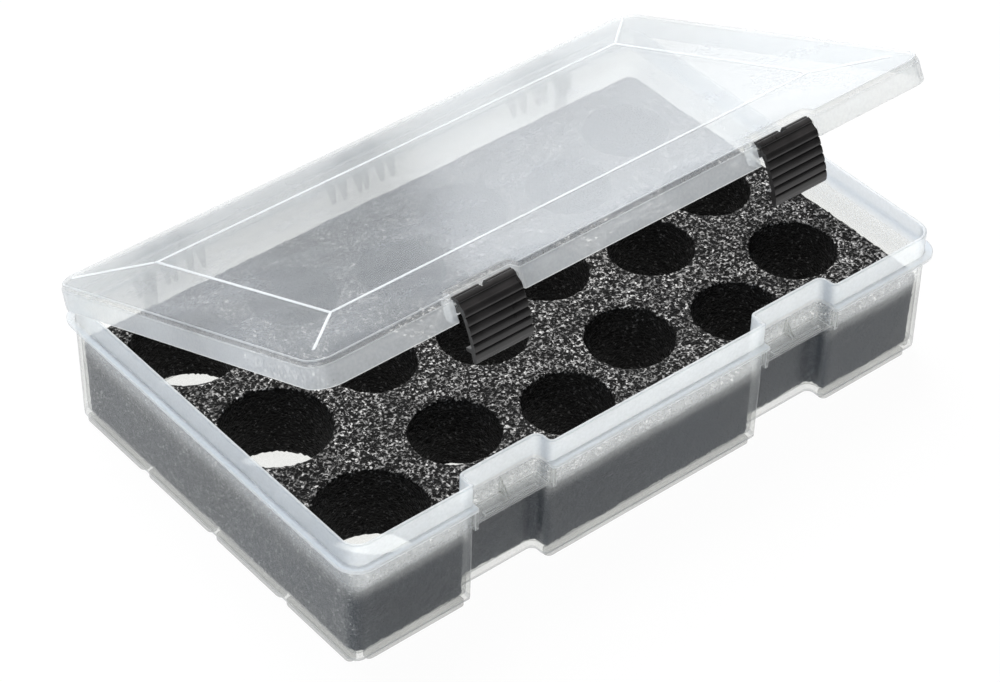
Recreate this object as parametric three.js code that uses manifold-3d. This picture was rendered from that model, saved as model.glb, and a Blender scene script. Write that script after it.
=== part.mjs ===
// A latching carry case for painted miniatures: a shallow tray, a hinged lid
// with two snap latches, and a foam insert with round wells.
// Units are millimetres, +Z is up and the latches face -Y.
// The lid stands ajar; every lid and latch shape is drawn closed and then turned.

import * as THREE from 'three';
import { mergeVertices } from 'three/addons/utils/BufferGeometryUtils.js';
import Module from 'manifold-3d';

const wasm = await Module();
wasm.setup();

// ---------------------------------------------------------------- dimensions

// Tray wall, drafted from the base up to the rim.
const BASE_HALF_X = 171.0;
const BASE_HALF_Y = 106.0;
const BASE_CORNER = 6.0;
const RIM_HALF_X = 171.5;
const RIM_HALF_Y = 108.0;
const RIM_CORNER = 9.5;
const RIM_TOP_Z = 72.7;
const WALL = 1.8;
const FLOOR_TOP_Z = 4.7;
const FLOOR_UNDER_Z = 2.7;

// The flange that the lid's skirt lands on.
const FLANGE_HALF_X = 175.0;
const FLANGE_HALF_Y = 111.5;
const FLANGE_CORNER = 12.0;
const FLANGE_TOP_Z = 61.2;
const FLANGE_THICK = 1.6;

// Foot strips round the underside, broken on the two short sides.
const FOOT_WIDTH = 7.0;
const FOOT_GAP = 2.5;
const FOOT_GAPS_Y = [-53, 0, 53];

// Pockets in the front wall behind the latches.
const LATCH_X = [-85, 85];
const POCKET_HALF_X = 21.0;
const POCKET_BACK_BASE_Y = -97.5;
const POCKET_BACK_RIM_Y = -99.3;
const POCKET_INNER_CORNER = 3.0;
const POCKET_OUTER_CORNER = 2.0;

// The catch in each pocket: a shelf, its front lip, a gusset and two cheeks.
const SHELF_TOP_Z = 50.5;
const SHELF_THICK = 1.8;
const SHELF_FRONT_Y = -108.0;
const LIP_HALF_X = 15.0;
const LIP_TOP_Z = 51.7;
const LIP_BACK_Y = -105.6;
const GUSSET_TOP_Z = 59.2;
const GUSSET_FRONT_Y = -105.8;
const RIB = 1.8;

// Lid shell, drawn closed.
const LID_HALF_X = 174.5;
const LID_HALF_Y = 111.3;
const LID_CORNER = 12.0;
const LID_SKIRT_Z = 61.5;
const LID_STEP_Z = 71.6;
const LID_TOP_Z = 74.2;
const LID_STEP_INSET = 0.5;
const LID_EDGE_INSET = 1.5;
const LID_PANEL = 1.2;
const LID_WALL = 1.5;
const NOTCH_HALF_X = 17.8;
const NOTCH_BACK_Y = -102.8;
const NOTCH_CORNER = 1.6;

// Raised lines on the lid's top.
const BEAD_WIDTH = 1.4;
const BEAD_HEIGHT = 0.5;
const BEAD_FRONT_Y = -69.2;
const BEAD_BACK_Y = 75.0;
const BEAD_HALF_X = 137.0;
const BEAD_END_X = 164.0;
const BEAD_FRONT_END_Y = -96.0;
const BEAD_BACK_END_Y = 103.0;

// Rear hinge: three knuckle groups on one axis behind the back wall.
const HINGE_Y = 116.5;
const HINGE_Z = 64.0;
const HINGE_GROUPS_X = [-113, 0, 113];
const HINGE_PIN_R = 2.0;
const HINGE_BOSS_R = 3.2;
const HINGE_EYE_R = 4.2;
const RUNNING_GAP = 0.3;
const FINGER_OFFSETS = [-18.1, -11.4, -2.1, 2.1, 11.4, 18.1];
const FINGER_ROOT_Z = 49.0;
const EYE_OFFSETS = [-6.75, 6.75];
const EYE_WIDTH = 6.9;
const PILASTER_X = [-125.5, 125.5];
const PILASTER_WIDTH = 6.0;
const PILASTER_FOOT_Z = 26.0;
const PILASTER_DEPTH = 2.0;
const OPEN_ANGLE = THREE.MathUtils.degToRad(23.35);

// Latches, drawn closed against the front of the lid.
const LATCH_PIVOT_Y = -107.0;
const LATCH_PIVOT_Z = 67.8;
const LATCH_HALF_X = 15.5;
const LATCH_PIN_R = 1.4;
const LATCH_BARREL_R = 3.6;
const LATCH_HEAD_R = 3.95;
const LATCH_TAB_HALF_X = 1.5;
const LATCH_THICK = 2.2;
const LATCH_RIDGES = 7;
const LATCH_RIDGE_TOP_Z = 68.8;
const LATCH_RIDGE_PITCH = 4.05;
const LATCH_RIDGE_DEPTH = 0.7;
const HOOK_TOP_Z = 48.35;
const HOOK_THICK = 1.7;
const HOOK_TIP_Y = -106.4;

// Foam insert and its round wells.
const FOAM_TOP_Z = 46.0;
const FOAM_UNDER_Z = 5.1;
const FOAM_CLEARANCE = 0.5;
const FOAM_CORNER = 7.0;
const LARGE_WELL_R = 26.0;
const SMALL_WELL_R = 21.0;
const WELL_PITCH_X = 51.8;
const WELL_PITCH_Y = 61.0;
const LARGE_COLUMN_X = -133.0;
const LARGE_ROWS_Y = [-70, 0, 70];
const FIRST_COLUMN_X = -72.4;
const COLUMN_COUNT = 5;
const UPPER_COLUMN_Y = -52.5;
const LOWER_COLUMN_Y = -69.5;

// ----------------------------------------------------------------- materials

const clearPlastic = new THREE.MeshStandardMaterial({
  color: 0xdfe5e8,
  roughness: 0.22,
  metalness: 0.0,
  transparent: true,
  opacity: 0.35,
});
const blackPlastic = new THREE.MeshStandardMaterial({
  color: 0x17181a,
  roughness: 0.45,
  metalness: 0.0,
});
const blackFoam = new THREE.MeshStandardMaterial({
  color: 0x26282b,
  roughness: 1.0,
  metalness: 0.0,
});

// ------------------------------------------------------------ closed solid shapes

const AXIS_X = new THREE.Vector3(1, 0, 0);
const AXIS_Y = new THREE.Vector3(0, 1, 0);
const AXIS_Z = new THREE.Vector3(0, 0, 1);

function toSolid(geometry) {
  geometry.deleteAttribute('normal');
  geometry.deleteAttribute('uv');
  const merged = mergeVertices(geometry, 1e-5);
  return new wasm.Manifold(new wasm.Mesh({
    numProp: 3,
    vertProperties: new Float32Array(merged.attributes.position.array),
    triVerts: new Uint32Array(merged.index.array),
  }));
}

function toGeometry(solid) {
  const mesh = solid.getMesh();
  const geometry = new THREE.BufferGeometry();
  const positions = new THREE.BufferAttribute(new Float32Array(mesh.vertProperties), 3);
  geometry.setAttribute('position', positions);
  geometry.setIndex(new THREE.BufferAttribute(new Uint32Array(mesh.triVerts), 1));
  geometry.computeVertexNormals();
  return geometry;
}

function join(solids) {
  return solids.reduce((total, solid) => total.add(solid));
}

function block(xMin, xMax, yMin, yMax, zMin, zMax) {
  const geometry = new THREE.BoxGeometry(xMax - xMin, yMax - yMin, zMax - zMin);
  geometry.translate((xMin + xMax) / 2, (yMin + yMax) / 2, (zMin + zMax) / 2);
  return toSolid(geometry);
}

// A prism whose section is drawn in the YZ plane.
function prismAlongX(profile, xMin, xMax) {
  const shape = new THREE.Shape(profile.map(([y, z]) => new THREE.Vector2(y, z)));
  const geometry = new THREE.ExtrudeGeometry(shape, {
    depth: xMax - xMin,
    bevelEnabled: false,
  });
  geometry.applyMatrix4(new THREE.Matrix4().makeBasis(AXIS_Y, AXIS_Z, AXIS_X));
  geometry.translate(xMin, 0, 0);
  return toSolid(geometry);
}

function rodAlongX(y, z, radius, xMin, xMax, sides = 24) {
  const geometry = new THREE.CylinderGeometry(radius, radius, xMax - xMin, sides);
  geometry.rotateZ(Math.PI / 2);
  geometry.translate((xMin + xMax) / 2, y, z);
  return toSolid(geometry);
}

function rodAlongZ(x, y, radius, zMin, zMax, sides = 40) {
  const geometry = new THREE.CylinderGeometry(radius, radius, zMax - zMin, sides);
  geometry.rotateX(Math.PI / 2);
  geometry.translate(x, y, (zMin + zMax) / 2);
  return toSolid(geometry);
}

// Rounds every corner of a polygon; each corner carries its own radius.
function roundCorners(corners, steps) {
  const points = [];
  for (let i = 0; i < corners.length; i += 1) {
    const before = corners[(i + corners.length - 1) % corners.length];
    const here = corners[i];
    const after = corners[(i + 1) % corners.length];
    const corner = new THREE.Vector2(here.x, here.y);
    const toBefore = new THREE.Vector2(before.x, before.y).sub(corner).normalize();
    const toAfter = new THREE.Vector2(after.x, after.y).sub(corner).normalize();
    const halfAngle = Math.acos(THREE.MathUtils.clamp(toBefore.dot(toAfter), -1, 1)) / 2;
    const reach = here.r / Math.tan(halfAngle);
    const centre = toBefore.clone().add(toAfter).normalize();
    centre.multiplyScalar(here.r / Math.sin(halfAngle)).add(corner);
    const start = toBefore.clone().multiplyScalar(reach).add(corner).sub(centre);
    const end = toAfter.clone().multiplyScalar(reach).add(corner).sub(centre);
    const sweep = Math.atan2(start.cross(end), start.dot(end));
    for (let k = 0; k <= steps; k += 1) {
      const turned = start.clone().rotateAround(new THREE.Vector2(), (sweep * k) / steps);
      points.push([turned.x + centre.x, turned.y + centre.y]);
    }
  }
  return points;
}

// The plan outline shared by tray, flange, lid and foam: a rounded rectangle
// with a pocket cut into its front side at each latch.
function planOutline({ halfX, halfY, corner, pocketHalfX, pocketBackY, inner, outer }) {
  const corners = [{ x: -halfX, y: -halfY, r: corner }];
  for (const centreX of LATCH_X) {
    corners.push({ x: centreX - pocketHalfX, y: -halfY, r: outer });
    corners.push({ x: centreX - pocketHalfX, y: pocketBackY, r: inner });
    corners.push({ x: centreX + pocketHalfX, y: pocketBackY, r: inner });
    corners.push({ x: centreX + pocketHalfX, y: -halfY, r: outer });
  }
  corners.push({ x: halfX, y: -halfY, r: corner });
  corners.push({ x: halfX, y: halfY, r: corner });
  corners.push({ x: -halfX, y: halfY, r: corner });
  return roundCorners(corners, 6);
}

// Skins matching outlines at rising heights into one closed solid.
function loft(levels) {
  const count = levels[0].outline.length;
  const positions = [];
  for (const { outline, z } of levels) {
    for (const [x, y] of outline) {
      positions.push(x, y, z);
    }
  }
  const indices = [];
  for (let level = 0; level + 1 < levels.length; level += 1) {
    for (let i = 0; i < count; i += 1) {
      const next = (i + 1) % count;
      const a = level * count + i;
      const b = level * count + next;
      const c = (level + 1) * count + next;
      const d = (level + 1) * count + i;
      indices.push(a, b, c, a, c, d);
    }
  }
  const last = (levels.length - 1) * count;
  const firstCap = levels[0].outline.map(([x, y]) => new THREE.Vector2(x, y));
  for (const [a, b, c] of THREE.ShapeUtils.triangulateShape(firstCap, [])) {
    indices.push(a, c, b);
  }
  const lastCap = levels[levels.length - 1].outline.map(([x, y]) => new THREE.Vector2(x, y));
  for (const [a, b, c] of THREE.ShapeUtils.triangulateShape(lastCap, [])) {
    indices.push(last + a, last + b, last + c);
  }
  const geometry = new THREE.BufferGeometry();
  geometry.setAttribute('position', new THREE.Float32BufferAttribute(positions, 3));
  geometry.setIndex(indices);
  return toSolid(geometry);
}

// ---------------------------------------------------------------------- tray

// The tray wall's outline at a height, moved inward by an inset.
function trayOutline(z, inset, corner) {
  const share = z / RIM_TOP_Z;
  return planOutline({
    halfX: THREE.MathUtils.lerp(BASE_HALF_X, RIM_HALF_X, share) - inset,
    halfY: THREE.MathUtils.lerp(BASE_HALF_Y, RIM_HALF_Y, share) - inset,
    corner: corner ?? THREE.MathUtils.lerp(BASE_CORNER, RIM_CORNER, share) - inset,
    pocketHalfX: POCKET_HALF_X + inset,
    pocketBackY: THREE.MathUtils.lerp(POCKET_BACK_BASE_Y, POCKET_BACK_RIM_Y, share) + inset,
    inner: POCKET_INNER_CORNER,
    outer: POCKET_OUTER_CORNER,
  });
}

function trayShell() {
  const chamfer = 1.0;
  const outside = loft([
    { z: 0, outline: trayOutline(0, chamfer) },
    { z: chamfer, outline: trayOutline(chamfer, 0) },
    { z: RIM_TOP_Z, outline: trayOutline(RIM_TOP_Z, 0) },
  ]);
  const inside = loft([
    { z: FLOOR_TOP_Z, outline: trayOutline(FLOOR_TOP_Z, WALL) },
    { z: RIM_TOP_Z + 1, outline: trayOutline(RIM_TOP_Z, WALL) },
  ]);
  const underside = loft([
    { z: -1, outline: trayOutline(0, FOOT_WIDTH, 3) },
    { z: FLOOR_UNDER_Z, outline: trayOutline(0, FOOT_WIDTH, 3) },
  ]);
  return outside.subtract(inside).subtract(underside);
}

function footGaps() {
  const cuts = [];
  for (const y of FOOT_GAPS_Y) {
    for (const side of [-1, 1]) {
      const near = side * (BASE_HALF_X - FOOT_WIDTH - 1);
      const far = side * (BASE_HALF_X + 1);
      const halfGap = FOOT_GAP / 2;
      cuts.push(block(Math.min(near, far), Math.max(near, far), y - halfGap, y + halfGap,
        -1, FLOOR_UNDER_Z));
    }
  }
  return join(cuts);
}

function flange() {
  const plate = loft([FLANGE_TOP_Z - FLANGE_THICK, FLANGE_TOP_Z].map((z) => ({
    z,
    outline: planOutline({
      halfX: FLANGE_HALF_X,
      halfY: FLANGE_HALF_Y,
      corner: FLANGE_CORNER,
      pocketHalfX: POCKET_HALF_X,
      pocketBackY: POCKET_BACK_RIM_Y,
      inner: POCKET_INNER_CORNER,
      outer: 0.6,
    }),
  })));
  const hole = loft([FLANGE_TOP_Z - FLANGE_THICK - 1, FLANGE_TOP_Z + 1].map((z) => ({
    z,
    outline: trayOutline(FLANGE_TOP_Z, WALL / 2),
  })));
  return plate.subtract(hole);
}

function latchCatch(centreX) {
  const wallY = POCKET_BACK_RIM_Y + WALL / 2;
  const reachX = POCKET_HALF_X + WALL / 2;
  const underZ = SHELF_TOP_Z - SHELF_THICK;
  const shelf = block(centreX - reachX, centreX + reachX, SHELF_FRONT_Y, wallY, underZ, SHELF_TOP_Z);
  const lip = block(centreX - LIP_HALF_X, centreX + LIP_HALF_X, SHELF_FRONT_Y, LIP_BACK_Y,
    underZ, LIP_TOP_Z);
  const gusset = prismAlongX([
    [wallY, underZ],
    [wallY, GUSSET_TOP_Z],
    [POCKET_BACK_RIM_Y, GUSSET_TOP_Z],
    [GUSSET_FRONT_Y, SHELF_TOP_Z],
    [GUSSET_FRONT_Y, underZ],
  ].reverse(), centreX - RIB / 2, centreX + RIB / 2);
  const cheeks = [-1, 1].map((side) => {
    const near = centreX + side * POCKET_HALF_X;
    const far = centreX + side * (POCKET_HALF_X + RIB);
    return block(Math.min(near, far), Math.max(near, far), -FLANGE_HALF_Y + 0.8,
      -BASE_HALF_Y, underZ, FLANGE_TOP_Z - FLANGE_THICK / 2);
  });
  return join([shelf, lip, gusset, ...cheeks]);
}

// Fingers on the back wall that carry one stretch of hinge pin.
function trayKnuckles(centreX) {
  const wallY = RIM_HALF_Y - WALL;
  const finger = [[wallY, FINGER_ROOT_Z], [RIM_HALF_Y + 1, FINGER_ROOT_Z]];
  const startAngle = -0.25 * Math.PI;
  const endAngle = 0.95 * Math.PI;
  for (let k = 0; k <= 12; k += 1) {
    const angle = startAngle + ((endAngle - startAngle) * k) / 12;
    finger.push([
      HINGE_Y + HINGE_BOSS_R * Math.cos(angle),
      HINGE_Z + HINGE_BOSS_R * Math.sin(angle),
    ]);
  }
  finger.push([FLANGE_HALF_Y + 0.9, FLANGE_TOP_Z - 0.2]);
  finger.push([wallY, FLANGE_TOP_Z - 0.2]);
  const fingers = FINGER_OFFSETS.map((offset) => {
    const x = centreX + offset;
    return prismAlongX(finger, x - RIB / 2, x + RIB / 2);
  });
  const halfPin = Math.max(...FINGER_OFFSETS);
  const pin = rodAlongX(HINGE_Y, HINGE_Z, HINGE_PIN_R, centreX - halfPin, centreX + halfPin);
  return join([...fingers, pin]);
}

function pilaster(x) {
  const wallY = RIM_HALF_Y - WALL;
  const outY = RIM_HALF_Y + PILASTER_DEPTH;
  return prismAlongX([
    [wallY, PILASTER_FOOT_Z],
    [outY - PILASTER_DEPTH, PILASTER_FOOT_Z],
    [outY, PILASTER_FOOT_Z + 6],
    [outY, FLANGE_TOP_Z - 0.4],
    [wallY, FLANGE_TOP_Z - 0.4],
  ], x - PILASTER_WIDTH / 2, x + PILASTER_WIDTH / 2);
}

function traySolid() {
  // Ribs start inside the wall's thickness; the cavity trims what pokes through.
  const cavity = loft([
    { z: FLOOR_TOP_Z, outline: trayOutline(FLOOR_TOP_Z, WALL) },
    { z: RIM_TOP_Z + 1, outline: trayOutline(RIM_TOP_Z, WALL) },
  ]);
  const additions = join([
    flange(),
    ...LATCH_X.map(latchCatch),
    ...HINGE_GROUPS_X.map(trayKnuckles),
    ...PILASTER_X.map(pilaster),
  ]);
  return trayShell().subtract(footGaps()).add(additions.subtract(cavity));
}

// ----------------------------------------------------------------------- lid

function lidOutline(inset, wall = 0) {
  return planOutline({
    halfX: LID_HALF_X - inset - wall,
    halfY: LID_HALF_Y - inset - wall,
    corner: LID_CORNER - inset - wall,
    pocketHalfX: NOTCH_HALF_X + wall,
    pocketBackY: NOTCH_BACK_Y + wall,
    inner: NOTCH_CORNER,
    outer: wall > 0 ? NOTCH_CORNER : 0.4,
  });
}

function lidShell() {
  const outside = loft([
    { z: LID_SKIRT_Z, outline: lidOutline(0) },
    { z: LID_STEP_Z, outline: lidOutline(LID_STEP_INSET) },
    { z: LID_TOP_Z, outline: lidOutline(LID_EDGE_INSET) },
  ]);
  const inside = loft([
    { z: LID_SKIRT_Z - 1, outline: lidOutline(0, LID_WALL) },
    { z: LID_TOP_Z - LID_PANEL, outline: lidOutline(LID_STEP_INSET, LID_WALL) },
  ]);
  return outside.subtract(inside);
}

function bead(startX, startY, endX, endY) {
  const length = Math.hypot(endX - startX, endY - startY) + BEAD_WIDTH;
  const geometry = new THREE.BoxGeometry(length, BEAD_WIDTH, BEAD_HEIGHT + 0.4);
  geometry.rotateZ(Math.atan2(endY - startY, endX - startX));
  geometry.translate((startX + endX) / 2, (startY + endY) / 2, LID_TOP_Z - 0.4 + (BEAD_HEIGHT + 0.4) / 2);
  return toSolid(geometry);
}

function lidBeads() {
  const beads = [
    bead(-BEAD_HALF_X, BEAD_FRONT_Y, BEAD_HALF_X, BEAD_FRONT_Y),
    bead(-BEAD_HALF_X, BEAD_BACK_Y, BEAD_HALF_X, BEAD_BACK_Y),
  ];
  for (const side of [-1, 1]) {
    beads.push(bead(side * BEAD_HALF_X, BEAD_FRONT_Y, side * BEAD_HALF_X, BEAD_BACK_Y));
    beads.push(bead(side * BEAD_HALF_X, BEAD_FRONT_Y, side * BEAD_END_X, BEAD_FRONT_END_Y));
    beads.push(bead(side * BEAD_HALF_X, BEAD_BACK_Y, side * BEAD_END_X, BEAD_BACK_END_Y));
  }
  return join(beads);
}

// One eye that turns on the tray's hinge pin, with the arm that carries it.
function lidEye(x) {
  const xMin = x - EYE_WIDTH / 2;
  const xMax = x + EYE_WIDTH / 2;
  const ring = rodAlongX(HINGE_Y, HINGE_Z, HINGE_EYE_R, xMin, xMax);
  const arm = prismAlongX([
    [LID_HALF_Y - 1.4, LID_SKIRT_Z + 0.4],
    [HINGE_Y - 3.0, LID_SKIRT_Z + 0.4],
    [HINGE_Y, HINGE_Z],
    [HINGE_Y + 1.5, HINGE_Z + 3.8],
    [LID_HALF_Y + 0.6, LID_STEP_Z - 0.6],
    [LID_HALF_Y - 1.4, LID_STEP_Z - 0.6],
  ], xMin, xMax);
  const bore = rodAlongX(HINGE_Y, HINGE_Z, HINGE_PIN_R + RUNNING_GAP, xMin - 1, xMax + 1);
  const mouth = block(xMin - 1, xMax + 1, HINGE_Y - 1.7, HINGE_Y + 1.7, HINGE_Z - 6, HINGE_Z - 1);
  return ring.add(arm).subtract(bore).subtract(mouth);
}

// The pin that a latch turns on, held by the notch's sides and a middle tab.
function latchPin(centreX) {
  const halfX = NOTCH_HALF_X + LID_WALL / 2;
  const pin = rodAlongX(LATCH_PIVOT_Y, LATCH_PIVOT_Z, LATCH_PIN_R, centreX - halfX, centreX + halfX);
  const tab = prismAlongX([
    [LATCH_PIVOT_Y - 0.8, LATCH_PIVOT_Z - 0.9],
    [LATCH_PIVOT_Y + 0.6, LATCH_PIVOT_Z - 2.2],
    [NOTCH_BACK_Y + LID_WALL / 2, LATCH_PIVOT_Z - 3.8],
    [NOTCH_BACK_Y + LID_WALL / 2, LATCH_PIVOT_Z + 0.8],
    [LATCH_PIVOT_Y - 0.8, LATCH_PIVOT_Z + 0.8],
  ], centreX - LATCH_TAB_HALF_X, centreX + LATCH_TAB_HALF_X);
  return pin.add(tab);
}

function lidSolid() {
  const eyes = HINGE_GROUPS_X.flatMap((centreX) => EYE_OFFSETS.map((offset) => lidEye(centreX + offset)));
  return join([lidShell(), lidBeads(), ...LATCH_X.map(latchPin), ...eyes]);
}

// ------------------------------------------------------------------- latches

// The latch's outer face, top to bottom: a rolled head, then ridges, then a
// plain thumb edge.
function latchFace() {
  const face = [];
  for (let k = 0; k <= 5; k += 1) {
    const angle = THREE.MathUtils.degToRad(80 + k * 15);
    face.push([
      LATCH_PIVOT_Y + LATCH_HEAD_R * Math.cos(angle),
      LATCH_PIVOT_Z + LATCH_HEAD_R * Math.sin(angle),
    ]);
  }
  for (let i = 1; i < LATCH_RIDGES; i += 1) {
    const z = LATCH_RIDGE_TOP_Z - i * LATCH_RIDGE_PITCH;
    const y = latchFaceY(z);
    face.push([y + LATCH_RIDGE_DEPTH, z + 1.3]);
    face.push([y, z + 0.7]);
    face.push([y, z - 0.7]);
    face.push([y + LATCH_RIDGE_DEPTH, z - 1.3]);
  }
  face.push([latchFaceY(42.6) + 0.3, 42.6]);
  face.push([-110.4, 41.0]);
  return face;
}

// How far out the crest of the latch stands at a height.
function latchFaceY(z) {
  const share = (z - 54) / 18;
  return -113.4 + 1.6 * share * share + (z < 50 ? 0.9 * ((50 - z) / 8) ** 2 : 0);
}

function latchSolid() {
  const face = latchFace();
  const back = face
    .filter(([, z]) => z < LATCH_PIVOT_Z - 2)
    .map(([, z]) => [Math.min(latchFaceY(z) + LATCH_RIDGE_DEPTH + LATCH_THICK, -109.0), z])
    .reverse();
  const profile = [...face, ...back, [LATCH_PIVOT_Y, LATCH_PIVOT_Z]];
  const plate = prismAlongX(profile, -LATCH_HALF_X, LATCH_HALF_X);
  const barrel = rodAlongX(LATCH_PIVOT_Y, LATCH_PIVOT_Z, LATCH_BARREL_R, -LATCH_HALF_X, LATCH_HALF_X);
  const hook = prismAlongX([
    [-112.0, HOOK_TOP_Z],
    [-112.0, HOOK_TOP_Z - HOOK_THICK - 2.0],
    [-109.6, HOOK_TOP_Z - HOOK_THICK - 1.0],
    [HOOK_TIP_Y, HOOK_TOP_Z - HOOK_THICK + 0.6],
    [HOOK_TIP_Y, HOOK_TOP_Z],
  ], -LIP_HALF_X + 1, LIP_HALF_X - 1);
  const bore = rodAlongX(LATCH_PIVOT_Y, LATCH_PIVOT_Z, LATCH_PIN_R + RUNNING_GAP,
    -LATCH_HALF_X - 1, LATCH_HALF_X + 1);
  const mouth = block(-LATCH_HALF_X - 1, LATCH_HALF_X + 1, LATCH_PIVOT_Y, LATCH_PIVOT_Y + 6,
    LATCH_PIVOT_Z - 1.2, LATCH_PIVOT_Z + 1.2);
  const tabSlot = block(-LATCH_TAB_HALF_X - 0.4, LATCH_TAB_HALF_X + 0.4, LATCH_PIVOT_Y - 2.2,
    LATCH_PIVOT_Y + 8, LATCH_PIVOT_Z - 6, LATCH_PIVOT_Z + 6);
  return join([plate, barrel, hook]).subtract(bore).subtract(mouth).subtract(tabSlot);
}

// ---------------------------------------------------------------------- foam

function wellCentres() {
  const wells = LARGE_ROWS_Y.map((y) => ({ x: LARGE_COLUMN_X, y, radius: LARGE_WELL_R }));
  for (let column = 0; column < COLUMN_COUNT; column += 1) {
    const startY = column % 2 === 0 ? UPPER_COLUMN_Y : LOWER_COLUMN_Y;
    for (let row = 0; row < 3; row += 1) {
      wells.push({
        x: FIRST_COLUMN_X + column * WELL_PITCH_X,
        y: startY + row * WELL_PITCH_Y,
        radius: SMALL_WELL_R,
      });
    }
  }
  return wells;
}

function foamSolid() {
  const slab = loft([FOAM_UNDER_Z, FOAM_TOP_Z].map((z) => ({
    z,
    outline: trayOutline(z, WALL + FOAM_CLEARANCE, FOAM_CORNER),
  })));
  const wells = wellCentres().map(({ x, y, radius }) => (
    rodAlongZ(x, y, radius, FOAM_UNDER_Z - 1, FOAM_TOP_Z + 1, radius > SMALL_WELL_R ? 40 : 36)
  ));
  return slab.subtract(join(wells));
}

// ------------------------------------------------------------------ assembly

function addPart(parent, name, solid, material, origin) {
  const geometry = toGeometry(solid);
  geometry.translate(-origin.x, -origin.y, -origin.z);
  const mesh = new THREE.Mesh(geometry, material);
  mesh.name = name;
  parent.add(mesh);
}

const carryCase = new THREE.Group();
const noShift = new THREE.Vector3();
addPart(carryCase, 'tray', traySolid(), clearPlastic, noShift);
addPart(carryCase, 'foam_insert', foamSolid(), blackFoam, noShift);

const hingeAxis = new THREE.Vector3(0, HINGE_Y, HINGE_Z);
const lidGroup = new THREE.Group();
lidGroup.position.copy(hingeAxis);
lidGroup.rotation.x = -OPEN_ANGLE;
carryCase.add(lidGroup);
addPart(lidGroup, 'lid', lidSolid(), clearPlastic.clone(), hingeAxis);

const latchNames = ['latch_left', 'latch_right'];
LATCH_X.forEach((centreX, index) => {
  const latchGroup = new THREE.Group();
  latchGroup.position.set(centreX, LATCH_PIVOT_Y - HINGE_Y, LATCH_PIVOT_Z - HINGE_Z);
  lidGroup.add(latchGroup);
  const pivot = new THREE.Vector3(0, LATCH_PIVOT_Y, LATCH_PIVOT_Z);
  addPart(latchGroup, latchNames[index], latchSolid(), blackPlastic.clone(), pivot);
});

// The origin is the middle of the bounding box's underside.
carryCase.updateMatrixWorld(true);
const bounds = new THREE.Box3().setFromObject(carryCase, true);
carryCase.position.y = -(bounds.min.y + bounds.max.y) / 2;
carryCase.updateMatrixWorld(true);

export default carryCase;
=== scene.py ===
"""Miniature carry case: clear hinged box, black snap latches, black foam insert with round wells."""
import math

import bmesh
import bpy
import numpy as np
from mathutils import Matrix, Vector


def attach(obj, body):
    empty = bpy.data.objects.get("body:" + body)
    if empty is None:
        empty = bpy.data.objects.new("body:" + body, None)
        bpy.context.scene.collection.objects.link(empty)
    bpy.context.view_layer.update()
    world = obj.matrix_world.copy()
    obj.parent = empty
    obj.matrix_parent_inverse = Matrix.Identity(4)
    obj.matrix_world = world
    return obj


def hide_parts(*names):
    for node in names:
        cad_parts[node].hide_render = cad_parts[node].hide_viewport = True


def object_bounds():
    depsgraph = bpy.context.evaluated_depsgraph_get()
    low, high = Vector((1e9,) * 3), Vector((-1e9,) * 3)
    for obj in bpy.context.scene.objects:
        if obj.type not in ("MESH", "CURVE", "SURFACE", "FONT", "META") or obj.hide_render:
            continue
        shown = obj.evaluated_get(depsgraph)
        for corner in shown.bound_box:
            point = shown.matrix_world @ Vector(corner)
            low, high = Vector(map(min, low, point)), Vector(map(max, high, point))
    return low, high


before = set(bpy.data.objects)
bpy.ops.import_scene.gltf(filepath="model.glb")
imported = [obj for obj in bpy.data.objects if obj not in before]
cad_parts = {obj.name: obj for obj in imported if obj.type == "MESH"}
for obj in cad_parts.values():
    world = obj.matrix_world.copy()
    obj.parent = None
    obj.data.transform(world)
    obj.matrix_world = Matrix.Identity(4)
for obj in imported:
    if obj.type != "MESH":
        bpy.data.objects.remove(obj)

CAD_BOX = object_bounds()
MM = 0.001
FLANGE_HALF_Y = 111.5
SHIFT_Y = CAD_BOX[0].y / MM + FLANGE_HALF_Y  # the frame's origin is the middle of the bounding box

# ---------------------------------------------------------------- dimensions, in mm
BASE_HALF = (171.0, 106.0)
BASE_CORNER = 6.0
RIM_HALF = (171.5, 108.0)
RIM_CORNER = 9.5
RIM_TOP = 72.7
WALL = 1.8
FLOOR_TOP = 4.7
FLOOR_UNDER = 2.7
FLANGE_HALF = (175.0, FLANGE_HALF_Y)
FLANGE_CORNER = 12.0
FLANGE_TOP = 61.2
FLANGE_UNDER = 59.6
LATCH_X = (-85.0, 85.0)
POCKET_HALF = 21.0
POCKET_BACK = (-97.5, -99.3)
SHELF_TOP = 50.5
SHELF_UNDER = 48.7
SHELF_FRONT = -108.0
LID_HALF = (174.5, 111.3)
LID_CORNER = 12.0
LID_SKIRT = 61.5
LID_STEP = 71.6
LID_TOP = 74.2
LID_UNDER = 73.0
LID_WALL = 1.5
NOTCH_HALF = 17.8
NOTCH_BACK = -102.8
HINGE_Y = 116.5
HINGE_Z = 64.0
HINGE_GROUPS = (-113.0, 0.0, 113.0)
FINGERS = (-18.1, -11.4, -2.1, 2.1, 11.4, 18.1)
EYES = (-6.75, 6.75)
OPEN = math.radians(23.35)
PIVOT_Y = -107.0
PIVOT_Z = 67.8
FOAM_TOP = 46.0
FOAM_END = 165.5  # just inside the foam's two end faces
STEPS = 8  # to a rounded corner
EDGE_COUNTS = (6, 1, 3, 1, 10, 1, 3, 1, 6, 16, 26, 16)  # parts that each straight run is cut into
LEAST_RADIUS = 0.35
LEAST_CORNER = 1.0
POCKET_BACK_RADII = (1.4, 3.2)
POCKET_MOUTH_RADII = ((1.6, 0.8), (3.6, 1.6))  # at the wall and at the flange


def metres(points):
    """Tray coordinates in mm to the frame's metres."""
    return [(x * MM, (y + SHIFT_Y) * MM, z * MM) for x, y, z in points]


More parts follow.
